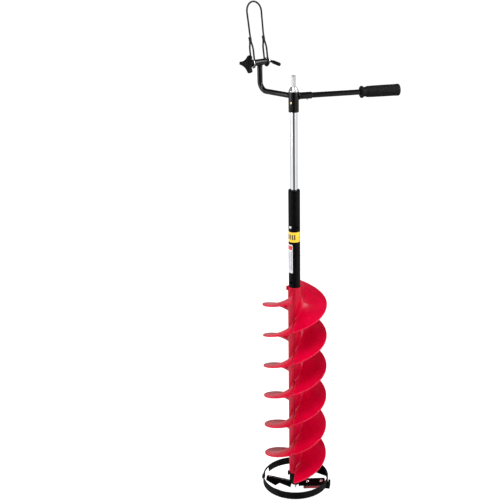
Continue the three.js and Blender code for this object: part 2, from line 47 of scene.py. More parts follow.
TUBE_R, TUBE_BORE, TUBE_LOW, TUBE_TOP = 18.0, 16.0, 44.0, 1038.6
ROD_R, ROD_BORE, ROD_LOW, ROD_TOP = 11.0, 9.0, 912.0, 1336.6
GROOVE_R, GROOVE_LOW, GROOVE_TOP = 10.2, 1279.0, 1280.6
PLUG_R, PLUG_LOW, HEX_ACROSS, SPINDLE_TOP = 8.7, 1290.0, 12.7, 1383.0
COLLAR_R, COLLAR_NECK, COLLAR_BORE, COLLAR_LOW, COLLAR_TOP = 14.6, 8.7, 7.7, 1338.4, 1350.0
LOCK_AZ, LOCK_SPARE_AZ, LOCK_Z, LOCK_STOWED_Z, LOCK_R = -131, -68, 926.0, 746.0, 4.5
BAND_LOW, BAND_TOP, LABEL_LOW, LABEL_TOP = 879, 911, 778, 871
FLIGHT_R, LEAD, LEAVES, LEAF_TOP_Z = 101.5, 213.5, 6, 670.5
CORE_R, CORE_LOW, CORE_TOP, SEAM_AZ = 21.0, 65.0, 730.0, -95
SLEEVE_R, SLEEVE_BORE, SLEEVE_LOW, SLEEVE_TOP = 15.3, 13.5, 1277.0, 1336.0
GREASE_AZ, GREASE_Z = -118, 1305
ARM_R, ARM_Z, RIGHT_AZ, LEFT_AZ, ARM_REACH, CLAMP_Z = 8.0, 1323.3, 18, 134, 145.0, 1407.0
CROSS_HALF, CROSS_R, CROSS_BORE = 23.8, 9.5, 4.4
BOLT_R, BOLT_END, BOLT_LEG_X, BOLT_LEG, BOLT_DROOP = 4.0, -58.0, 43.0, 40.0, 10
KNOB_FACE, KNOB_THICK, KNOB_LOBES = -57.0, 14.0, 3
WASHER_R, WASHER_BORE, WASHER_THICK, WASHER_INNER = 12.5, 4.4, 2.0, 29.4
HOOP_WIRE, EYE_HALF, ARCH_HALF, HOOP_APEX, HOOP_TILT = 2.5, 26.6, 28.9, 176.6, 8
STRAND, EYE_TURN, WIRE_COAT, LEG_START = 7.6, -5.4, 0.2, 84.0
HEAD_AZ, HEAD_RISE, HEAD_RAKE, HEAD_Z = -10, 8.4, 24, 22.0
SCREW_REACHES = (("inner", 40.5), ("outer", 88.3))
GUARD_R, GUARD_WALL, GUARD_LOW, GUARD_TOP = 109.0, 3.5, 26.0, 51.0
NOTCH_START, NOTCH_END, NOTCH_RISE = 180 + HEAD_AZ - 22, 180 + HEAD_AZ - 4, 18.0

# The floor lies under the lowest place that the guard reaches. The camera looks along +Y from the front.
FLOOR_Z, FLOOR_REACH = -0.048, 60
CAMERA_AT, LOOK_DOWN, CAMERA_ROLL = (0, -2.7283, 1.805), 19.314, -0.294
FOCAL_LENGTH, SENSOR_WIDTH, SHIFT_X = 67.64, 36, -0.0888


# ---------------------------------------------------------------- materials
class Nodes:
    """A material with one Principled shader, and short calls for the nodes that feed it."""

    def __init__(self, name, color, roughness, metallic=0.0, **sockets):
        self.material = bpy.data.materials.new(name)
        self.material.use_nodes = True
        self.tree = self.material.node_tree
        self.shader = self.tree.nodes["Principled BSDF"]
        self.set("Base Color", (*color, 1))
        self.set("Roughness", roughness)
        self.set("Metallic", metallic)
        for key, value in sockets.items():
            self.set(key.replace("_", " "), value)
        self.height = None

    def set(self, socket, value):
        self.shader.inputs[socket].default_value = value

    def add(self, kind, **inputs):
        node = self.tree.nodes.new(kind)
        for key, value in inputs.items():
            node.inputs[key.replace("_", " ")].default_value = value
        return node

    def link(self, out, into):
        self.tree.links.new(out, into)

    def coords(self, stretch=(1, 1, 1)):
        place = self.add("ShaderNodeTexCoord")
        mapping = self.add("ShaderNodeMapping", Scale=stretch)
        self.link(place.outputs["Object"], mapping.inputs["Vector"])
        return mapping.outputs["Vector"]

    def noise(self, scale, detail=3.0, stretch=(1, 1, 1)):
        node = self.add("ShaderNodeTexNoise", Scale=scale, Detail=detail)
        self.link(self.coords(stretch), node.inputs["Vector"])
        return node.outputs["Fac"]

    def ramp(self, value, low, high, start=0.35, end=0.65):
        node = self.add("ShaderNodeValToRGB")
        self.link(value, node.inputs["Fac"])
        first, last = node.color_ramp.elements
        first.position, last.position = start, end
        first.color, last.color = (*low, 1), (*high, 1)
        return node.outputs["Color"]

    def span(self, value, low, high, start=0.3, end=0.7):
        node = self.add("ShaderNodeMapRange")
        self.link(value, node.inputs["Value"])
        for key, number in (("From Min", start), ("From Max", end), ("To Min", low), ("To Max", high)):
            node.inputs[key].default_value = number
        return node.outputs["Result"]

    def tint(self, value, low, high, **edges):
        self.link(self.ramp(value, low, high, **edges), self.shader.inputs["Base Color"])

    def rough(self, value, low, high, **edges):
        self.link(self.span(value, low, high, **edges), self.shader.inputs["Roughness"])

    def bump(self, value, distance, strength=1.0):
        node = self.add("ShaderNodeBump", Strength=strength, Distance=distance)
        self.link(value, node.inputs["Height"])
        if self.height is not None:
            self.link(self.height, node.inputs["Normal"])
        self.height = node.outputs["Normal"]
        self.link(self.height, self.shader.inputs["Normal"])


def red_nylon():
    m = Nodes("red_nylon", (0.60, 0.0, 0.03), 0.34, IOR=1.5)
    m.set("Specular IOR Level", 0.22)
    m.set("Subsurface Weight", 0.12)
    m.set("Subsurface Radius", (1.0, 0.08, 0.1))
    m.set("Subsurface Scale", 0.006)
    m.tint(m.noise(9.0, 2.0), (0.50, 0.0, 0.022), (0.66, 0.0, 0.036))
    m.rough(m.noise(30.0, 4.0), 0.22, 0.36)
    m.bump(m.noise(22.0, 2.0), 0.0012, 0.25)
    m.bump(m.noise(900.0, 2.0), 0.00006, 0.35)
    return m.material


def powder_coat(name, low, high, gloss):
    """Black paint with a fine orange peel, rough from low to high."""
    m = Nodes(name, (0.003, 0.003, 0.0033), low, IOR=1.45)
    m.set("Specular IOR Level", gloss)
    m.tint(m.noise(60.0), (0.0012, 0.0012, 0.0014), (0.0028, 0.0028, 0.003))
    m.rough(m.noise(45.0, 4.0), low, high)
    m.bump(m.noise(1300.0, 2.0), 0.00009, 0.5)
    m.bump(m.noise(260.0, 2.0), 0.0002, 0.2)
    return m.material


def black_plastic():
    m = Nodes("black_plastic", (0.003, 0.003, 0.0034), 0.5, IOR=1.46)
    m.set("Specular IOR Level", 0.06)
    m.tint(m.noise(40.0), (0.0016, 0.0016, 0.0018), (0.004, 0.004, 0.0044))
    m.rough(m.noise(70.0, 4.0), 0.40, 0.58)
    m.bump(m.noise(1900.0, 3.0), 0.00012, 0.6)
    return m.material


def black_rubber():
    m = Nodes("black_rubber", (0.004, 0.004, 0.004), 0.68)
    m.set("Specular IOR Level", 0.14)
    m.tint(m.noise(90.0), (0.002, 0.002, 0.002), (0.0048, 0.0048, 0.0048))
    m.rough(m.noise(120.0, 4.0), 0.55, 0.78)
    m.bump(m.noise(1500.0, 3.0), 0.0002, 0.6)
    return m.material


def polished(name, color, low, high, stretch, scratch):
    """Bare or plated metal, with fine scratches drawn out where stretch is small."""
    m = Nodes(name, color, low, 1.0)
    m.rough(m.noise(40.0, 5.0, stretch), low, high)
    m.tint(m.noise(14.0), tuple(0.93 * c for c in color), color)
    m.bump(m.noise(1100.0, 3.0, stretch), 0.00003, scratch)
    return m.material


def brass():
    m = Nodes("brass", (0.86, 0.72, 0.40), 0.3, 1.0)
    m.rough(m.noise(180.0), 0.24, 0.44)
    m.tint(m.noise(120.0), (0.80, 0.64, 0.32), (0.92, 0.80, 0.50))
    return m.material


def pale_nylon():
    m = Nodes("pale_nylon", (0.68, 0.63, 0.52), 0.5)
    m.tint(m.noise(60.0), (0.62, 0.57, 0.46), (0.72, 0.68, 0.57))
    m.bump(m.noise(900.0), 0.00008, 0.5)
    return m.material


def vinyl(name, low, high, roughness=0.34):
    m = Nodes(name, high, roughness, IOR=1.48)
    m.set("Coat Weight", 0.25)
    m.set("Coat Roughness", 0.18)
    m.tint(m.noise(70.0), low, high)
    m.bump(m.noise(160.0, 2.0), 0.0001, 0.25)
    return m.material


RED = red_nylon()
PAINT = powder_coat("gloss_black_paint", 0.15, 0.25, 0.3)
SATIN = powder_coat("satin_black_paint", 0.30, 0.42, 0.09)
PLASTIC = black_plastic()
RUBBER = black_rubber()
CHROME = polished("polished_rod", (0.88, 0.89, 0.91), 0.10, 0.20, (1, 1, 0.03), 0.3)
SPINDLE = polished("turned_steel", (0.52, 0.53, 0.54), 0.14, 0.24, (1, 1, 1), 0.2)
ZINC = polished("zinc_plate", (0.80, 0.81, 0.83), 0.22, 0.38, (1, 1, 1), 0.5)
STEEL = polished("ground_steel", (0.66, 0.66, 0.67), 0.26, 0.42, (0.06, 1, 1), 0.8)
BRASS = brass()
NATURAL = pale_nylon()
YELLOW = vinyl("yellow_vinyl", (0.86, 0.52, 0.015), (0.95, 0.62, 0.03))
WHITE = vinyl("white_vinyl", (0.60, 0.60, 0.63), (0.70, 0.70, 0.73))
LABEL_RED = vinyl("label_red", (0.55, 0.03, 0.02), (0.66, 0.05, 0.03))
LABEL_GREY = vinyl("label_grey", (0.13, 0.135, 0.15), (0.20, 0.205, 0.22))
LABEL_BLACK = vinyl("label_black", (0.012, 0.012, 0.012), (0.02, 0.02, 0.02))


# ---------------------------------------------------------------- places
def turn(axis, degrees):
    return Matrix.Rotation(math.radians(degrees), 4, axis)


def shift(x, y, z):
    return Matrix.Translation((x, y, z))


LIE_ALONG_X = turn("Y", 90)
CLAMP = turn("Z", LEFT_AZ - 90) @ shift(0, ARM_REACH, CLAMP_Z)
HOOP = CLAMP @ turn("X", -HOOP_TILT)


def along(azimuth, height):
    """Lays a turned piece's axis out along an azimuth."""
    return turn("Z", azimuth) @ shift(0, 0, height) @ LIE_ALONG_X


def holder_place(half):
    """The frame of a blade holder: raised outwards and raked round its own length."""
    out = turn("Z", 180 * half + HEAD_AZ) @ shift(0, 0, HEAD_Z)
    return out @ turn("Y", -HEAD_RISE) @ turn("X", HEAD_RAKE)


# ---------------------------------------------------------------- mesh makers: each returns (points, faces)
def soften(outline, radius, closed, steps=3):
    """Rounds the corners of a 2-D outline of (radius, height) points."""
    count = len(outline)
    result = []
    for i, point in enumerate(outline):
        p = Vector(point)
        if not closed and i in (0, count - 1):
            result.append(p)
            continue
        a, b = Vector(outline[i - 1]) - p, Vector(outline[(i + 1) % count]) - p
        room = min(radius, 0.45 * a.length, 0.45 * b.length)
        start, end = p + a.normalized() * room, p + b.normalized() * room
        for k in range(steps + 1):
            t = k / steps
            result.append((1 - t) ** 2 * start + 2 * t * (1 - t) * p + t * t * end)
    return [(v.x, v.y) for v in result]


def lathe(outline, segments=64, radius=0.5, wave=None):
    """Turns an outline about +Z. An outline that starts off the axis is closed, so it makes a bored piece."""
    closed = outline[0][0] > ON_AXIS
    outline = soften(outline, radius, closed)
    points, rings = [], []
    for r, z in outline:
        if r < ON_AXIS:
            rings.append([len(points)])
            points.append((0, 0, z))
            continue
        ring = []
        for k in range(segments):
            angle = TAU * k / segments
            reach = r + (wave(angle, r, z) if wave else 0)
            ring.append(len(points))
            points.append((reach * math.cos(angle), reach * math.sin(angle), z))
        rings.append(ring)
    faces = []
    pairs = list(zip(rings, rings[1:])) + ([(rings[-1], rings[0])] if closed else [])
    for low, high in pairs:
        for k in range(segments):
            n = (k + 1) % segments
            if len(low) == 1 and len(high) == 1:
                break
            if len(low) == 1:
                faces.append((low[0], high[n], high[k]))
            elif len(high) == 1:
                faces.append((low[k], low[n], high[0]))
            else:
                faces.append((low[k], low[n], high[n], high[k]))
    return points, faces


def sweep(path, radius, sides=20, end_round=0.6):
    """A round bar along a path, with softened ends."""
    path = [Vector(p) for p in path]
    tangents = []
    for i in range(len(path)):
        ahead = path[min(i + 1, len(path) - 1)] - path[max(i - 1, 0)]
        tangents.append(ahead.normalized())
    first = tangents[0]
    side = first.cross(Vector((0, 0, 1)) if abs(first.z) < 0.9 else Vector((1, 0, 0))).normalized()
    rows = []
    for i, (p, t) in enumerate(zip(path, tangents)):
        side = (side - t * side.dot(t)).normalized()
        rows.append((p, side.copy(), t.cross(side), radius))
    rounding = []
    for k in range(4):
        angle = math.pi / 2 * k / 3
        rounding.append((end_round * (1 - math.sin(angle)), radius - end_round * (1 - math.cos(angle))))
    start = [(path[0] + first * inset, rows[0][1], rows[0][2], r) for inset, r in reversed(rounding[:-1])]
    finish = [(path[-1] - tangents[-1] * inset, rows[-1][1], rows[-1][2], r) for inset, r in rounding]
    rows = start + rows[1:-1] + finish
    points, faces = [], []
    for p, u, v, r in rows:
        for k in range(sides):
            angle = TAU * k / sides
            points.append(p + u * (r * math.cos(angle)) + v * (r * math.sin(angle)))
    for i in range(len(rows) - 1):
        for k in range(sides):
            n = (k + 1) % sides
            a, b = i * sides, (i + 1) * sides
            faces.append((a + k, a + n, b + n, b + k))
    last = (len(rows) - 1) * sides
    faces.append(tuple(range(sides - 1, -1, -1)))
    faces.append(tuple(range(last, last + sides)))
    return points, faces


def prism(outline, low, high):
    """An (x, y) outline drawn straight up."""
    count = len(outline)
    points = [(x, y, low) for x, y in outline] + [(x, y, high) for x, y in outline]
    faces = [tuple(range(count - 1, -1, -1)), tuple(range(count, 2 * count))]
    for k in range(count):
        n = (k + 1) % count
        faces.append((k, n, count + n, count + k))
    return points, faces


def block(x0, x1, y0, y1, z0, z1):
    """A box between two corners."""
    return prism([(x0, y0), (x1, y0), (x1, y1), (x0, y1)], z0, z1)


def moved(shape, matrix):
    """A shape with its points put through a matrix."""
    points, faces = shape
    return [matrix @ Vector(p) for p in points], faces


def merged(*shapes):
    """Several shapes as one."""
    points, faces = [], []
    for more_points, more_faces in shapes:
        base = len(points)
        points += more_points
        faces += [tuple(base + i for i in face) for face in more_faces]
    return points, faces


def build(name, shape, material, body, replaced=(), place=Matrix(), bevel=0.0, angle=35):
    """Makes a piece from a shape in millimetres, gives it its body and finish, and hides the CAD nodes it
    stands for.
    """
    points, faces = moved(shape, place)
    mesh = bpy.data.meshes.new(name)
    mesh.from_pydata([Vector(p) * MM for p in points], [], faces)
    tidy = bmesh.new()
    tidy.from_mesh(mesh)
    bmesh.ops.remove_doubles(tidy, verts=tidy.verts, dist=1e-7)
    bmesh.ops.recalc_face_normals(tidy, faces=tidy.faces)
    tidy.to_mesh(mesh)
    tidy.free()
    mesh.shade_smooth()
    mesh.set_sharp_from_angle(angle=math.radians(angle))
    piece = bpy.data.objects.new(name, mesh)
    bpy.context.collection.objects.link(piece)
    mesh.materials.append(material)
    if bevel:
        modifier = piece.modifiers.new("edges", "BEVEL")
        modifier.width, modifier.segments = bevel * MM, 2
        modifier.limit_method, modifier.angle_limit = "ANGLE", math.radians(angle)
        modifier.harden_normals = True
    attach(piece, body)
    if replaced:
        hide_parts(*replaced)
    return piece


def refined(node, name, material, body, bevel, angle=30):
    """A CAD node's shape as a new piece with softened edges, standing for that node."""
    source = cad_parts[node].data
    tidy = bmesh.new()
    tidy.from_mesh(source)
    bmesh.ops.remove_doubles(tidy, verts=tidy.verts, dist=1e-6)
    bmesh.ops.dissolve_limit(tidy, angle_limit=math.radians(1.5), verts=tidy.verts, edges=tidy.edges)
    points = [v.co / MM for v in tidy.verts]
    tidy.verts.index_update()
    faces = [tuple(v.index for v in face.verts) for face in tidy.faces]
    tidy.free()
    return build(name, (points, faces), material, body, [node], bevel=bevel, angle=angle)


def carve(piece, *cutters):
    """Cuts shapes in millimetres out of a piece, for good."""
    for shape in cutters:
        points, faces = shape
        mesh = bpy.data.meshes.new("cutter")
        mesh.from_pydata([Vector(p) * MM for p in points], [], faces)
        tidy = bmesh.new()
        tidy.from_mesh(mesh)
        bmesh.ops.recalc_face_normals(tidy, faces=tidy.faces)
        tidy.to_mesh(mesh)
        tidy.free()
        tool = bpy.data.objects.new("cutter", mesh)
        bpy.context.collection.objects.link(tool)
        modifier = piece.modifiers.new("cut", "BOOLEAN")
        modifier.object, modifier.operation, modifier.solver = tool, "DIFFERENCE", "EXACT"
        result = bpy.data.meshes.new_from_object(piece.evaluated_get(bpy.context.evaluated_depsgraph_get()))
        piece.modifiers.clear()
        old, piece.data = piece.data, result
        bpy.data.meshes.remove(old)
        bpy.data.objects.remove(tool)
        bpy.data.meshes.remove(mesh)
    piece.data.name = piece.name
    piece.data.shade_smooth()
    piece.data.set_sharp_from_angle(angle=math.radians(35))
    return piece


# ---------------------------------------------------------------- shaft
def hex_shank():
    """The hexagonal spindle: an edge to the front, and a chamfered end."""
    corner = HEX_ACROSS / 2 / math.cos(math.pi / 6)
    rings = [(ROD_TOP - 0.5, 1.0), (SPINDLE_TOP - 1.4, 1.0), (SPINDLE_TOP, 0.86)]
    points, faces = [], []
    for z, share in rings:
        for k in range(6):
            angle = TAU * (k + 0.5) / 6
            points.append((share * corner * math.cos(angle), share * corner * math.sin(angle), z))
    for base in range(0, 6 * (len(rings) - 1), 6):
        for k in range(6):
            n = (k + 1) % 6
            faces.append((base + k, base + n, base + 6 + n, base + 6 + k))
    last = 6 * (len(rings) - 1)
    faces += [tuple(range(5, -1, -1)), tuple(range(last, last + 6))]
    return points, faces


def make_shaft():
    rod = [(ROD_R, ROD_LOW), (ROD_R, GROOVE_LOW), (GROOVE_R, GROOVE_LOW), (GROOVE_R, GROOVE_TOP),
           (ROD_R, GROOVE_TOP), (ROD_R, ROD_TOP), (ROD_BORE, ROD_TOP), (ROD_BORE, ROD_LOW)]
    build("rod", lathe(rod, 96, 0.4), CHROME, "shaft", ["extension_rod"])
    plug = lathe([(0, PLUG_LOW), (PLUG_R, PLUG_LOW), (PLUG_R, ROD_TOP), (0, ROD_TOP)], 48)
    shank = merged(plug, hex_shank())
    build("drive_shank", shank, SPINDLE, "shaft", ["drive_spindle"], bevel=0.35, angle=28)

    cone = [(COLLAR_R, COLLAR_LOW), (COLLAR_R, COLLAR_LOW + 1.4), (COLLAR_R - 0.6, COLLAR_LOW + 2.2),
            (COLLAR_NECK + 0.9, COLLAR_TOP - 1.4), (COLLAR_NECK, COLLAR_TOP), (COLLAR_BORE, COLLAR_TOP),
            (COLLAR_BORE, COLLAR_LOW)]
    build("cone", lathe(cone, 72, 0.35), SPINDLE, "shaft", ["cone_collar"])
    low, high = ROD_TOP + GAP, COLLAR_LOW - GAP
    washer = [(COLLAR_R, low), (COLLAR_R, high), (COLLAR_BORE, high), (COLLAR_BORE, low)]
    build("sleeve_washer", lathe(washer, 72, 0.3), ZINC, "shaft", ["thrust_washer"])

    button = [(0, 4), (LOCK_R + 1, 4), (LOCK_R + 1, 6), (LOCK_R, 6), (LOCK_R, 18.2), (4.1, 19.3), (3.0, 20.1),
              (1.5, 20.45), (0, 20.5)]
    build("lock_button", lathe(button, 32, 0.3), ZINC, "snap_button", ["snap_button"], along(LOCK_AZ, LOCK_Z))


# ---------------------------------------------------------------- auger column
def make_tube():
    outline = [(TUBE_R, TUBE_LOW), (TUBE_R, TUBE_TOP), (TUBE_BORE, TUBE_TOP), (TUBE_BORE, TUBE_LOW)]
    tube = build("tube", lathe(outline, 96, 0.5), SATIN, "auger", ["lower_tube"])
    bar = lathe([(0, 6), (LOCK_R + GAP, 6), (LOCK_R + GAP, 24), (0, 24)], 32, 0.01)
    carve(tube, moved(bar, along(LOCK_AZ, LOCK_Z)), moved(bar, along(LOCK_SPARE_AZ, LOCK_Z)),
          moved(bar, along(LOCK_AZ, LOCK_STOWED_Z)))
    plug_r, flange_r, bore = TUBE_BORE - GAP, 17.4, ROD_R + GAP
    low, seat, high = TUBE_TOP - 24, TUBE_TOP + GAP, TUBE_TOP + 2.9
    bush = [(plug_r, low), (plug_r, seat), (flange_r, seat), (flange_r, high), (bore, high), (bore, low)]
    build("tube_mouth", lathe(bush, 72, 0.9), PLASTIC, "auger", ["tube_bush"])


def patch(az0, az1, z0, z1, radius, thickness=0.25, corner=2.0):
    """A thin sheet wrapped on the tube, with rounded corners."""
    width = math.radians(az1 - az0) * radius
    corner = min(corner, 0.49 * width, 0.49 * (z1 - z0))
    bends = [corner * share for share in (0.08, 0.3, 0.6, 1.0)]
    even = [width * k / 24 for k in range(25)]
    columns = sorted({0.0, width, *bends, *(width - bend for bend in bends),
                      *(place for place in even if corner < place < width - corner)})
    points, faces = [], []
    for s in columns:
        edge = min(s, width - s)
        cut = corner - math.sqrt(max(0.0, corner ** 2 - (corner - edge) ** 2)) if edge < corner else 0.0
        angle = math.radians(az0) + s / radius
        for r in (radius, radius + thickness):
            for z in (z0 + cut, z1 - cut):
                points.append((r * math.cos(angle), r * math.sin(angle), z))
    for i in range(len(columns) - 1):
        a, b = 4 * i, 4 * i + 4
        faces += [(a, a + 1, b + 1, b), (a + 2, b + 2, b + 3, a + 3),
                  (a, b, b + 2, a + 2), (a + 1, a + 3, b + 3, b + 1)]
    last = 4 * (len(columns) - 1)
    faces += [(0, 2, 3, 1), (last, last + 1, last + 3, last + 2)]
    return points, faces


def make_labels():
    """A yellow band and a white label on the tube, with plain bars and lines where print would be."""
    on_tube = TUBE_R + 0.02
    on_label = on_tube + 0.23
    build("yellow_band", patch(-33, 322, BAND_LOW, BAND_TOP, on_tube, 0.22, 0.5), YELLOW, "auger")
    bars = []
    for k in range(5):
        az = -176 + 21 * k
        bars.append(patch(az, az + 12, BAND_LOW + 8, BAND_TOP - 8, on_label, 0.08, 1.0))
    build("yellow_band_bars", merged(*bars), LABEL_BLACK, "auger")
    build("white_label", patch(-228, -107, LABEL_LOW, LABEL_TOP, on_tube, 0.22, 3.0), WHITE, "auger")
    block_red = patch(-223, -112, LABEL_TOP - 17, LABEL_TOP - 4, on_label, 0.08, 1.0)
    build("white_label_block", block_red, LABEL_RED, "auger")
    lines = []
    for k in range(6):
        az = -217 + 19 * k
        low = LABEL_LOW + 7 + 3 * (k % 2)
        lines.append(patch(az, az + 5, low, LABEL_TOP - 23, on_label, 0.06, 0.5))
    build("white_label_lines", merged(*lines), LABEL_GREY, "auger")


def leaf_section():
    """Half section of a leaf as (radius, half thickness): fillet on the core, taper, rounded rim."""
    root, fillet, rim, rim_half, rim_flat = 5.0, 8.0, 2.2, 2.7, 1.3
    foot = CORE_R - 0.25
    start, end = foot + fillet, FLIGHT_R - rim
    section = []
    for k in range(7):
        angle = math.pi / 2 * k / 6
        section.append((foot + fillet * (1 - math.cos(angle)), root + fillet * (1 - math.sin(angle))))
    for k in range(1, 9):
        t = k / 8
        section.append((start + (end - start) * t, root + (rim_half - root) * t ** 0.8))
    for k in range(1, 5):
        angle = math.pi / 2 * k / 4
        section.append((end + rim * math.sin(angle), rim_flat + (rim_half - rim_flat) * math.cos(angle)))
    return section


def leaf(height, droop=0.0):
    """One half-turn leaf of the screw about its middle azimuth. droop lowers its upper end."""
    upper = leaf_section()
    profile = upper + [(r, -t) for r, t in reversed(upper)]
    reach = math.pi / 2
    middle = math.radians(SEAM_AZ) + reach
    rim_corner, edge_round, inset = 9.0, 1.6, 1.2
    full = 2 * reach * FLIGHT_R - 2 * inset
    near_edge = [0.0, 0.25, 0.7, 1.6, 3.0, 5.0, 7.5, 9.5]
    steps, margin = 56, 10.5
    even = [full * k / steps for k in range(1, steps)]
    stations = (near_edge + [place for place in even if margin < place < full - margin]
                + [full - place for place in reversed(near_edge)])
    points, faces = [], []
    for s in stations:
        edge = min(s, full - s)
        share = -1 + 2 * s / full
        outer, thin = FLIGHT_R, 1.0
        if edge < rim_corner:
            outer = FLIGHT_R - rim_corner + math.sqrt(rim_corner ** 2 - (rim_corner - edge) ** 2)
        if edge < edge_round:
            thin = 0.45 + 0.55 * math.sqrt(1 - (1 - edge / edge_round) ** 2)
        for r, t in profile:
            outward = max(0.0, (r - CORE_R) / (FLIGHT_R - CORE_R))
            radius = r - (FLIGHT_R - outer) * outward
            angle = middle + share * (reach - inset / radius)
            rise = LEAD * angle / TAU - droop * math.sin(max(0.0, share) * math.pi / 2)
            points.append((radius * math.cos(angle), radius * math.sin(angle), height + rise + t * thin))
    row = len(profile)
    for i in range(len(stations) - 1):
        for k in range(row):
            n = (k + 1) % row
            faces.append((i * row + k, i * row + n, (i + 1) * row + n, (i + 1) * row + k))
    last = (len(stations) - 1) * row
    for base in (0, last):
        for k in range(row // 2 - 1):
            faces.append((base + k, base + k + 1, base + row - 2 - k, base + row - 1 - k))
    return points, faces


def core_half():
    """One half of the flights' core: a half tube round the lower tube."""
    bore, inset = TUBE_R + GAP, 0.25
    outline = []
    for radius, order in ((CORE_R, range(0, 33)), (bore, range(32, -1, -1))):
        trim = inset / radius
        for k in order:
            angle = math.radians(SEAM_AZ) + trim + (math.pi - 2 * trim) * k / 32
            outline.append((radius * math.cos(angle), radius * math.sin(angle)))
    return prism(outline, CORE_LOW, CORE_TOP)


def make_flights():
    top_droop = 8.0
    for half, side in enumerate(("right", "left")):
        spin = turn("Z", 180 * half)
        leaves = [leaf(LEAF_TOP_Z - k * LEAD / 2, 0.0 if k else top_droop) for k in range(LEAVES)]
        build("flight_leaves_" + side, merged(*leaves), RED, "auger", ["flight_shell_" + side], spin, angle=50)
        lug = block(CORE_R - 2, CORE_R + 5.4, -5, 5, CORE_TOP - 12, CORE_TOP - 0.1)
        build("flight_core_" + side, merged(core_half(), lug), RED, "auger", (), spin, bevel=0.7, angle=40)


# ---------------------------------------------------------------- cutting head
def make_head():
    cup = [(0, 20), (16, 20), (19.9, 24), (19.9, 64.4), (18.3, 64.4), (18.3, 43.5), (0, 43.5)]
    build("cutter_hub", lathe(cup, 72, 1.2), SATIN, "auger", ["head_hub"])
    point = [(0, 0), (1.5, 0), (1.7, 0.6), (4.9, 14.6), (5.0, 16), (5.0, 38), (0, 38)]
    build("point", lathe(point, 32, 0.5), STEEL, "auger", ["centre_point"])
    refined("head_cross_bolt", "cross_bolt", SATIN, "auger", 0.5)
    refined("head_cross_nut", "cross_nut", SATIN, "auger", 0.4)
    for half, side in enumerate(("right", "left")):
        refined("blade_holder_" + side, "holder_" + side, SATIN, "auger", 0.6)
        refined("blade_" + side, "cutter_" + side, STEEL, "auger", 0.15, 20)
        for spot, reach in SCREW_REACHES:
            screw = [(0, -7.3), (2.5, -7.3), (2.5, 0.35), (5.9, 0.35), (5.9, 1.35), (4.7, 1.5), (4.4, 2.4),
                     (3.5, 3.2), (2.3, 3.55), (2.0, 3.5), (1.9, 1.6), (0, 1.6)]
            place = holder_place(half) @ shift(reach, 0, 0)
            node = "blade_screw_%s_%s" % (side, spot)
            build(node.replace("blade_", "cutter_"), lathe(screw, 36, 0.25), ZINC, "auger", [node], place)


# ---------------------------------------------------------------- guard
def guard_band():
    """The guard's ring, with rounded edges and a notch in its lower edge."""
    inner, lip = GUARD_R - GUARD_WALL, 0.9
    angles = {k * 2.5 for k in range(144)}
    for edge in (NOTCH_START, NOTCH_END):
        angles |= {edge - 0.25, edge + 0.25}
    angles = sorted(angles)
    points, faces = [], []
    for angle in angles:
        low = GUARD_LOW + (NOTCH_RISE if NOTCH_START < angle < NOTCH_END else 0)
        section = [(inner + lip, low), (GUARD_R - lip, low), (GUARD_R, low + lip), (GUARD_R, GUARD_TOP - lip),
                   (GUARD_R - lip, GUARD_TOP), (inner + lip, GUARD_TOP), (inner, GUARD_TOP - lip),
                   (inner, low + lip)]
        a = math.radians(angle)
        points += [(r * math.cos(a), r * math.sin(a), z) for r, z in section]
    row = 8
    for i in range(len(angles)):
        j = (i + 1) % len(angles)
        for k in range(row):
            n = (k + 1) % row
            faces.append((i * row + k, i * row + n, j * row + n, j * row + k))
    return points, faces


def make_guard():
    web_r = GUARD_R - GUARD_WALL + 1
    webs = []
    for base in (0, 180):
        arc = [math.radians(base + 14 + 86 * k / 24) for k in range(25)]
        outline = [(web_r * math.cos(a), web_r * math.sin(a)) for a in arc]
        webs.append(prism(outline, GUARD_LOW + 0.2, GUARD_LOW + 3))
    hook = block(GUARD_R - 2, GUARD_R + 5, -6, 6, GUARD_LOW + 0.1, GUARD_LOW + 12)
    shape = merged(guard_band(), *webs, moved(hook, turn("Z", HEAD_AZ + 180)))
    build("guard", shape, PLASTIC, "guard", ["guard_ring"], angle=32)
    refined("guard_latch", "latch", PLASTIC, "guard", 0.9)


# ---------------------------------------------------------------- handle
def bead(radius, width, wobble=0.25):
    """A weld bead round an axis: a lumpy ring."""
    turns, sides = 60, 8
    points, faces = [], []
    for i in range(turns):
        a = TAU * i / turns
        lump = 1 + wobble * math.sin(11 * a) * math.sin(3 * a + 1)
        for k in range(sides):
            b = TAU * k / sides
            r = radius + width * lump * math.cos(b)
            points.append((r * math.cos(a), r * math.sin(a), width * lump * math.sin(b)))
    for i in range(turns):
        for k in range(sides):
            j, n = (i + 1) % turns, (k + 1) % sides
            faces.append((i * sides + k, j * sides + k, j * sides + n, i * sides + n))
    return points, faces


def arc_corner(start, corner, end, radius, count):
    """Points of an arc that rounds a corner between two straight runs."""
    start, corner, end = Vector(start), Vector(corner), Vector(end)
    back, ahead = (start - corner).normalized(), (end - corner).normalized()
    half = back.angle(ahead) / 2
    run = radius / math.tan(half)
    middle = corner + (back + ahead).normalized() * (radius / math.sin(half))
    first, last = corner + back * run - middle, corner + ahead * run - middle
    sweep_angle = first.angle(last)
    return [middle + first * (math.sin((1 - k / count) * sweep_angle) / math.sin(sweep_angle))
            + last * (math.sin(k / count * sweep_angle) / math.sin(sweep_angle)) for k in range(count + 1)]


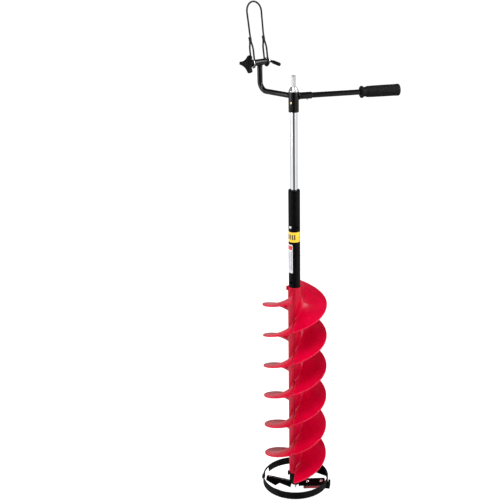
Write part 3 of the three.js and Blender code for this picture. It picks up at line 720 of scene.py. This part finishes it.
def make_handle():
    sleeve = [(SLEEVE_R, SLEEVE_LOW), (SLEEVE_R, SLEEVE_TOP), (SLEEVE_BORE, SLEEVE_TOP),
              (SLEEVE_BORE, SLEEVE_LOW)]
    socket = lathe([(8.3, 14.5), (10, 14.5), (10, 55), (8.3, 55)], 48, 0.7)
    welds = [moved(bead(10.3, 1.5), along(RIGHT_AZ, ARM_Z) @ shift(0, 0, 15.6)),
             moved(bead(8.2, 1.4), along(LEFT_AZ, ARM_Z) @ shift(0, 0, 15.9))]
    shape = merged(lathe(sleeve, 96, 1.0), moved(socket, along(RIGHT_AZ, ARM_Z)), *welds)
    build("handle_sleeve", shape, PAINT, "handle", ["hub_sleeve"])

    arm = [(6.4, 22), (ARM_R, 22), (ARM_R, 330), (6.4, 330)]
    build("grip_arm", lathe(arm, 48, 0.4), PAINT, "handle", ["right_arm"], along(RIGHT_AZ, ARM_Z))

    screw = [(0, 13.5), (2, 13.5), (2, 15.6), (3.2, 15.6), (3.1, 16.6), (2.2, 17.2), (1.3, 17.2),
             (1.2, 16.2), (0, 16.2)]
    build("grease_plug", lathe(screw, 24, 0.2), BRASS, "handle", ["grease_screw"], along(GREASE_AZ, GREASE_Z))

    def ribs(angle, r, z):
        """Shallow grooves along the grip's hand part."""
        start, end, run_out, count, depth = 232, 321, 4, 20, 0.55
        if r < 14 or not start < z < end:
            return 0.0
        fade = min(1.0, (z - start) / run_out, (end - z) / run_out)
        return -depth * max(0.0, math.cos(count * angle)) ** 2 * fade

    grip = [(8.3, 209), (15.8, 209), (17.9, 210.4), (18.3, 212.5), (17.9, 214.8), (15.9, 216.4), (14.4, 219),
            (14.2, 223), (15.2, 227), (16.6, 230), (16.8, 236), (17.1, 250), (17.3, 270), (17.4, 290),
            (17.4, 312), (17.4, 318), (17.6, 322), (17.9, 326), (18, 329), (17.4, 331.8), (15.8, 333),
            (12, 333.2), (0, 333.2), (0, 330.3), (8.3, 330.3)]
    build("grip", lathe(grip, 120, 0.5, ribs), RUBBER, "handle", ["hand_grip"], along(RIGHT_AZ, ARM_Z),
          angle=60)

    left = turn("Z", LEFT_AZ)
    start, corner = (14.2, 0, ARM_Z), (ARM_REACH, 0, ARM_Z)
    end = (ARM_REACH, 0, CLAMP_Z - 8.2)
    path = [start, *arc_corner(start, corner, end, 28, 16), end]
    weld = moved(bead(7.6, 1.5), left @ shift(ARM_REACH, 0, CLAMP_Z - 8.6))
    arm_shape = merged(moved(sweep(path, ARM_R, 40), left), weld)
    build("clamp_arm", arm_shape, PAINT, "handle", ["left_arm"], angle=50)
    tube = [(CROSS_BORE, -CROSS_HALF), (CROSS_R, -CROSS_HALF), (CROSS_R, CROSS_HALF),
            (CROSS_BORE, CROSS_HALF)]
    build("clamp_tube", lathe(tube, 48, 0.5), PAINT, "handle", ["cross_tube"], CLAMP @ LIE_ALONG_X)


# ---------------------------------------------------------------- clamp
def smooth_path(points, per=6):
    """A Catmull-Rom curve through the points."""
    points = [Vector(p) for p in points]
    full = [points[0] * 2 - points[1]] + points + [points[-1] * 2 - points[-2]]
    path = []
    for i in range(1, len(full) - 2):
        p0, p1, p2, p3 = full[i - 1:i + 3]
        for k in range(per):
            t = k / per
            path.append(0.5 * (2 * p1 + (p2 - p0) * t + (2 * p0 - 5 * p1 + 4 * p2 - p3) * t * t
                               + (3 * p1 - p0 - 3 * p2 + p3) * t ** 3))
    path.append(points[-1])
    return path


def hoop_points():
    """The hoop's wire: an eye, a leg, the arch, the other leg and its eye. Each eye's end lies on its leg."""
    eye = [(STRAND * 0.62, 76), (STRAND * 0.54, 69), (STRAND * 0.5, 60), (STRAND * 0.85, 49), (STRAND, 40),
           (STRAND, 25), (STRAND, 8)]
    for k in range(9):
        angle = math.pi * k / 8
        eye.append((STRAND * math.cos(angle), EYE_TURN - STRAND * math.sin(angle)))
    eye += [(-STRAND, 8), (-STRAND, 25), (-STRAND, 40), (-STRAND * 0.75, 50), (-STRAND * 0.32, 60),
            (-STRAND * 0.2, 70), (0, LEG_START)]
    near = [(-EYE_HALF, y, z) for y, z in eye]
    far = [(EYE_HALF, y, z) for y, z in reversed(eye)]
    inset = 0.4
    half = ARCH_HALF - WIRE_COAT - inset
    centre = HOOP_APEX - WIRE_COAT - ARCH_HALF
    arch = []
    for k in range(15):
        angle = math.pi * (1 - k / 14)
        arch.append((half * math.cos(angle), 0, centre + ARCH_HALF * math.sin(angle)))
    lift = [(-EYE_HALF - (half - EYE_HALF) * share, 0, LEG_START + (centre - LEG_START) * share)
            for share in (0.35, 0.7)]
    down = [(-x, y, z) for x, y, z in reversed(lift)]
    return near + lift + arch + down + far


def star_reach(angle):
    """Outline of the knob: blunt points joined by hollow sides."""
    tip, waist, hollow, blunt = 28.4, 12.5, 45.0, 12
    centre, lobe = waist + hollow, TAU / KNOB_LOBES
    side = (angle - lobe / 2) % lobe
    side = min(side, lobe - side)
    square = hollow ** 2 - (centre * math.sin(side)) ** 2
    reach = centre * math.cos(side) - math.sqrt(square) if square > 0 else 4 * tip
    return (reach ** -blunt + tip ** -blunt) ** (-1 / blunt)


def knob_shape():
    """A three-lobed knob with rounded edges and a bored middle, along +Z from its outer face."""
    layers = [(0.0, 2.2), (0.4, 1.2), (1.2, 0.4), (2.6, 0.0), (11.4, 0.0), (12.8, 0.4), (13.6, 1.2),
              (KNOB_THICK, 2.2)]
    bore = [(0.0, 9.2), (1.0, 8.7), (KNOB_THICK, 7.3)]
    count = 144
    angles = [TAU * k / count for k in range(count)]
    points, faces = [], []
    for z, inset in layers:
        for angle in angles:
            r = star_reach(angle) - inset
            points.append((-r * math.sin(angle), r * math.cos(angle), z))
    inner = len(points)
    for z, r in bore:
        points += [(-r * math.sin(angle), r * math.cos(angle), z) for angle in angles]
    last = (len(layers) - 1) * count
    for k in range(count):
        n = (k + 1) % count
        for base in range(0, last, count):
            faces.append((base + k, base + n, base + count + n, base + count + k))
        faces.append((k, n, inner + n, inner + k))
        faces.append((inner + k, inner + n, inner + count + n, inner + count + k))
        faces.append((inner + count + k, inner + count + n, inner + 2 * count + n, inner + 2 * count + k))
        faces.append((last + k, last + n, inner + 2 * count + n, inner + 2 * count + k))
    return points, faces


def make_clamp():
    across = CLAMP @ LIE_ALONG_X
    droop = math.radians(BOLT_DROOP)
    corner = Vector((BOLT_LEG_X, 0, 0))
    end = corner + Vector((0, -math.cos(droop), -math.sin(droop))) * BOLT_LEG
    start = (BOLT_END + 3.5, 0, 0)
    path = [start, *arc_corner(start, corner, end, 9, 10), end]
    build("l_bolt", sweep(path, BOLT_R - 0.05, 32, 0.8), PAINT, "clamp_bolt", ["clamp_bolt"], CLAMP, angle=50)
    cap = [(4.3, 12), (4.9, 12), (5.4, 13), (5.4, 39.6), (5.0, 41.6), (3.9, 42.7), (2.2, 43), (0, 43),
           (0, 40.3), (4.3, 40.3)]
    leg = CLAMP @ shift(BOLT_LEG_X, 0, 0) @ turn("X", 90 + BOLT_DROOP)
    build("l_bolt_sleeve", lathe(cap, 40, 0.4), RUBBER, "clamp_bolt", ["bolt_leg_sleeve"], leg)
    for side, low in (("front", -WASHER_INNER - WASHER_THICK), ("back", WASHER_INNER)):
        high = low + WASHER_THICK
        washer = [(WASHER_BORE, low), (WASHER_R, low), (WASHER_R, high), (WASHER_BORE, high)]
        shape = lathe(washer, 56, 0.5)
        build("hoop_washer_" + side, shape, ZINC, "clamp_washers", ["clamp_washer_" + side], across)
    wire = sweep(smooth_path(hoop_points()), HOOP_WIRE + WIRE_COAT, 20, 0.7)
    build("hoop_wire", wire, PAINT, "hoop", ["drill_hoop"], HOOP, angle=60)
    boss = moved(lathe([(7.3, -43.5), (11, -43.5), (11, -31.8), (7.3, -31.8)], 56, 0.8), LIE_ALONG_X)
    star = moved(knob_shape(), shift(KNOB_FACE, 0, 0) @ LIE_ALONG_X)
    lid = lathe([(0, -57.4), (7.0, -57.0), (8.4, -56.2), (8.4, -54.9), (0, -54.9)], 48, 0.5)
    knob = merged(star, boss, moved(lid, LIE_ALONG_X))
    build("knob", knob, PLASTIC, "knob", ["star_knob"], CLAMP, angle=50)
    insert = [(4.3, -54.6), (7.0, -54.6), (7.0, -32), (4.3, -32)]
    build("knob_bush", lathe(insert, 36, 0.3), BRASS, "knob", ["knob_insert"], across)


def finish_frame_nodes():
    """Finishes the CAD nodes whose own shape is shown."""
    finishes = {
        "retaining_ring": STEEL, "rod_foot_guide": PLASTIC, "rod_end_cap": PLASTIC, "snap_spring": STEEL,
        "shell_pin_lower": ZINC, "shell_pin_upper": ZINC, "hub_bush_lower": NATURAL, "hub_bush_upper": NATURAL,
        "arm_set_screw": STEEL,
    }
    for name, material in finishes.items():
        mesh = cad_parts[name].data
        mesh.materials.clear()
        mesh.materials.append(material)


# ---------------------------------------------------------------- stage, light and camera
def studio_world():
    """A white studio: even light on surfaces, and panels for reflections round a dark front."""
    world = bpy.data.worlds.new("studio")
    world.use_nodes = True
    tree = world.node_tree

    def add(kind, **values):
        node = tree.nodes.new(kind)
        for key, value in values.items():
            setattr(node, key, value)
        return node

    def panels(value, stops, low, high):
        """A grey level that runs through (place, level) stops as the value goes from low to high."""
        spread = add("ShaderNodeMapRange")
        tree.links.new(value, spread.inputs["Value"])
        spread.inputs["From Min"].default_value, spread.inputs["From Max"].default_value = low, high
        ramp = add("ShaderNodeValToRGB")
        tree.links.new(spread.outputs["Result"], ramp.inputs["Fac"])
        marks = ramp.color_ramp.elements
        while len(marks) < len(stops):
            marks.new(0.5)
        for mark, (place, level) in zip(marks, stops):
            mark.position = (place - low) / (high - low)
            mark.color = (level, level, level, 1)
        return ramp.outputs["Color"]

    def mix(kind, share, first, second):
        """Two colours, mixed. Each input is a plain value or the output of a node."""
        node = add("ShaderNodeMix", data_type="RGBA", blend_type=kind)
        sockets = {socket.identifier: socket for socket in node.inputs}
        for key, value in (("Factor_Float", share), ("A_Color", first), ("B_Color", second)):
            if isinstance(value, bpy.types.NodeSocket):
                tree.links.new(value, sockets[key])
            else:
                sockets[key].default_value = value
        return next(socket for socket in node.outputs if socket.identifier == "Result_Color")

    axes = add("ShaderNodeSeparateXYZ")
    tree.links.new(add("ShaderNodeTexCoord").outputs["Generated"], axes.inputs["Vector"])
    height = axes.outputs["Z"]
    front = add("ShaderNodeMath", operation="MULTIPLY")
    front.inputs[1].default_value = -1
    tree.links.new(axes.outputs["Y"], front.inputs[0])
    azimuth = add("ShaderNodeMath", operation="ARCTAN2")
    tree.links.new(axes.outputs["X"], azimuth.inputs[0])
    tree.links.new(front.outputs[0], azimuth.inputs[1])

    def around(*stops):
        """Panels by azimuth: 0 degrees is the front, 90 the right."""
        return panels(azimuth.outputs[0], [(math.radians(a), level) for a, level in stops], -math.pi, math.pi)

    def upward(*stops):
        """Panels by height: -1 is straight down, 1 straight up."""
        return panels(height, stops, -1, 1)

    walls = around((-180, 0.42), (-130, 0.42), (-112, 1.0), (-36, 1.0), (-20, 0.08), (20, 0.08), (36, 1.0),
                   (76, 1.0), (81, 0.4), (88, 0.4), (93, 1.0), (112, 1.0), (130, 0.42), (180, 0.42))
    heights = upward((-1, 0.35), (-0.7, 1.0), (0.3, 1.0), (0.62, 0.12), (1, 0.12))
    strip = around((-180, 0.0), (76, 0.0), (80, 1.0), (100, 1.0), (106, 0.0), (180, 0.0))
    strip_heights = upward((-1, 0.0), (0.16, 0.0), (0.26, 1.0), (0.6, 1.0), (0.7, 0.0), (1, 0.0))
    strip_light, even_light = (9.0, 9.0, 9.0, 1), (0.38, 0.38, 0.38, 1)
    side_strip = mix("MULTIPLY", 1.0, mix("MULTIPLY", 1.0, strip, strip_heights), strip_light)
    reflected = mix("ADD", 1.0, mix("MULTIPLY", 1.0, walls, heights), side_strip)
    rays = add("ShaderNodeLightPath")
    even = mix("MIX", rays.outputs["Is Camera Ray"], even_light, (1, 1, 1, 1))
    shown = mix("MIX", rays.outputs["Is Glossy Ray"], even, reflected)
    tree.links.new(shown, tree.nodes["Background"].inputs["Color"])
    return world


def make_stage():
    m = Nodes("pale_floor", (0.6, 0.6, 0.6), 0.9)
    m.set("Specular IOR Level", 0.0)
    m.set("Emission Color", (1, 1, 1, 1))
    m.set("Emission Strength", 0.8)
    mesh = bpy.data.meshes.new("floor")
    corners = [(x * FLOOR_REACH, y * FLOOR_REACH, FLOOR_Z) for x, y in ((-1, -1), (1, -1), (1, 1), (-1, 1))]
    mesh.from_pydata(corners, [], [(0, 1, 2, 3)])
    floor = bpy.data.objects.new("floor", mesh)
    mesh.materials.append(m.material)
    bpy.context.collection.objects.link(floor)
    floor.visible_glossy = False

    bpy.context.scene.world = studio_world()
    aim = Vector((0, 0, 0.8))
    for name, place, size, power in (("key", (3.0, -1.1, 2.4), (1.2, 2.4), 66),
                                     ("fill", (-3.0, -0.9, 1.8), (1.2, 2.4), 42),
                                     ("top", (-0.3, -1.5, 3.9), (1.8, 1.2), 76)):
        light = bpy.data.lights.new(name, "AREA")
        light.shape, light.size, light.size_y, light.energy = "RECTANGLE", *size, power
        lamp = bpy.data.objects.new(name, light)
        bpy.context.collection.objects.link(lamp)
        lamp.location = place
        lamp.rotation_euler = (aim - Vector(place)).to_track_quat("-Z", "Y").to_euler()


def make_camera():
    lens = bpy.data.cameras.new("camera")
    lens.lens, lens.sensor_width = FOCAL_LENGTH, SENSOR_WIDTH
    lens.shift_x = SHIFT_X
    lens.clip_end = 200
    camera = bpy.data.objects.new("camera", lens)
    bpy.context.collection.objects.link(camera)
    camera.matrix_world = shift(*CAMERA_AT) @ turn("X", 90 - LOOK_DOWN) @ turn("Z", CAMERA_ROLL)
    bpy.context.scene.camera = camera


make_shaft()
make_tube()
make_labels()
make_flights()
make_head()
make_guard()
make_handle()
make_clamp()
finish_frame_nodes()
make_stage()
make_camera()
bpy.context.scene.view_settings.view_transform = "Standard"
